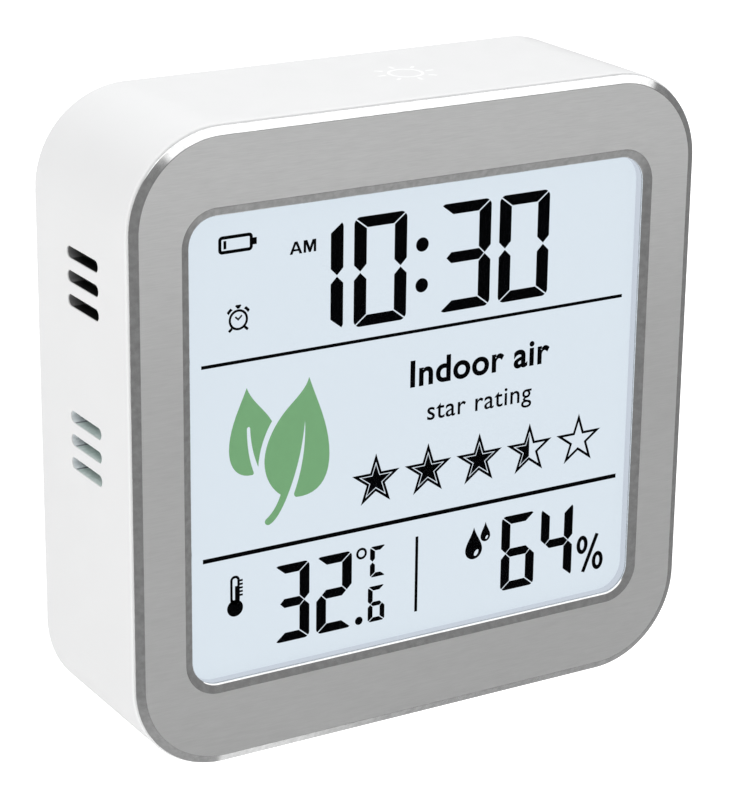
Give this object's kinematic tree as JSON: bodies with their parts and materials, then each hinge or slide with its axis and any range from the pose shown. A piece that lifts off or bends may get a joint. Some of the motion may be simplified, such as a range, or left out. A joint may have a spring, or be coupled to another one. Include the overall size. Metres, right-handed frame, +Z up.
{
  "type": "air quality monitor",
  "caption": "Desk air quality monitor: rounded-square white case, brushed metal bezel, segment display, side vents, rear keys and hinged battery door.",
  "frame": {"origin": "under the middle of the case, on the surface that the feet stand on", "axes": "+X to the right seen from the front, display faces -Y, +Z up"},
  "size_m": [0.0804, 0.026, 0.0816],
  "materials": {
    "case_white": "satin moulded",
    "bezel_metal": "brushed across, edges polished",
    "film_adhesive": "matt",
    "lens_clear": "clear, polished",
    "lcd_film": "satin film",
    "lcd_glass": "clear",
    "diffuser_white": "matt film",
    "guide_clear": "clear with printed dots",
    "reflector_white": "glossy film",
    "led_strip": "moulded",
    "holder_white": "matt",
    "contact_rubber": "matt, fine layers",
    "board_green": "solder mask",
    "sensor_board_pale": "pale solder mask",
    "part_black": "moulded epoxy",
    "part_ceramic": "fired",
    "sensor_cap": "stamped",
    "spring_steel": "nickel plated",
    "screw_steel": "zinc plated",
    "copper_foil": "bare foil",
    "cell_sleeve": "satin sleeve, plain steel ends",
    "lead_red": "insulated lead",
    "lead_black": "insulated lead",
    "key_grey": "satin moulded",
    "plunger_white": "moulded",
    "foot_rubber": "matt"
  },
  "bodies": {
    "case": {"main_housing": "case_white", "bezel_plate": "bezel_metal", "bezel_adhesive": "film_adhesive", "display_lens": "lens_clear", "lcd_front_polariser": "lcd_film", "lcd_front_glass": "lcd_glass", "lcd_rear_glass": "lcd_glass", "lcd_rear_polariser": "lcd_film", "diffuser_film": "diffuser_white", "light_guide": "guide_clear", "reflector_film": "reflector_white", "backlight_leds": "led_strip", "lcd_holder": "holder_white", "zebra_strip": "contact_rubber", "main_board": "board_green", "driver_chip": "part_black", "clock_crystal": "screw_steel", "board_parts": "part_ceramic", "board_screws": "screw_steel", "tact_switches": "part_black", "sensor_board": "sensor_board_pale", "gas_sensor": "sensor_cap", "humidity_sensor": "part_ceramic", "sensor_header": "part_black", "touch_electrode": "copper_foil", "buzzer": "part_black", "buzzer_leads": "lead_black", "rear_cover": "case_white", "cover_screws": "screw_steel", "battery_cells": "cell_sleeve", "contact_springs": "spring_steel", "contact_plates": "spring_steel", "positive_lead": "lead_red", "negative_lead": "lead_black", "rubber_feet": "foot_rubber"},
    "door": {"battery_door": "case_white"},
    "mode_key": {"mode_button": "key_grey", "mode_plunger": "plunger_white"},
    "alarm_key": {"alarm_button": "key_grey", "alarm_plunger": "plunger_white"},
    "up_key": {"up_button": "key_grey", "up_plunger": "plunger_white"},
    "down_key": {"down_button": "key_grey", "down_plunger": "plunger_white"}
  },
  "joints": [
    {"name": "door_hinge", "type": "hinge", "parent": "case", "child": "door", "pos_m": [0, 0.0107, 0.01295], "axis": [-1, 0, 0], "range_deg": [0, 85]},
    {"name": "mode_press", "type": "slide", "parent": "case", "child": "mode_key", "axis": [0, -1, 0], "range_m": [0, 0.0005], "stiffness_N_per_m": 1500},
    {"name": "alarm_press", "type": "slide", "parent": "case", "child": "alarm_key", "axis": [0, -1, 0], "range_m": [0, 0.0005], "stiffness_N_per_m": 1500},
    {"name": "up_press", "type": "slide", "parent": "case", "child": "up_key", "axis": [0, -1, 0], "range_m": [0, 0.0005], "stiffness_N_per_m": 1500},
    {"name": "down_press", "type": "slide", "parent": "case", "child": "down_key", "axis": [0, -1, 0], "range_m": [0, 0.0005], "stiffness_N_per_m": 1500}
  ]
}
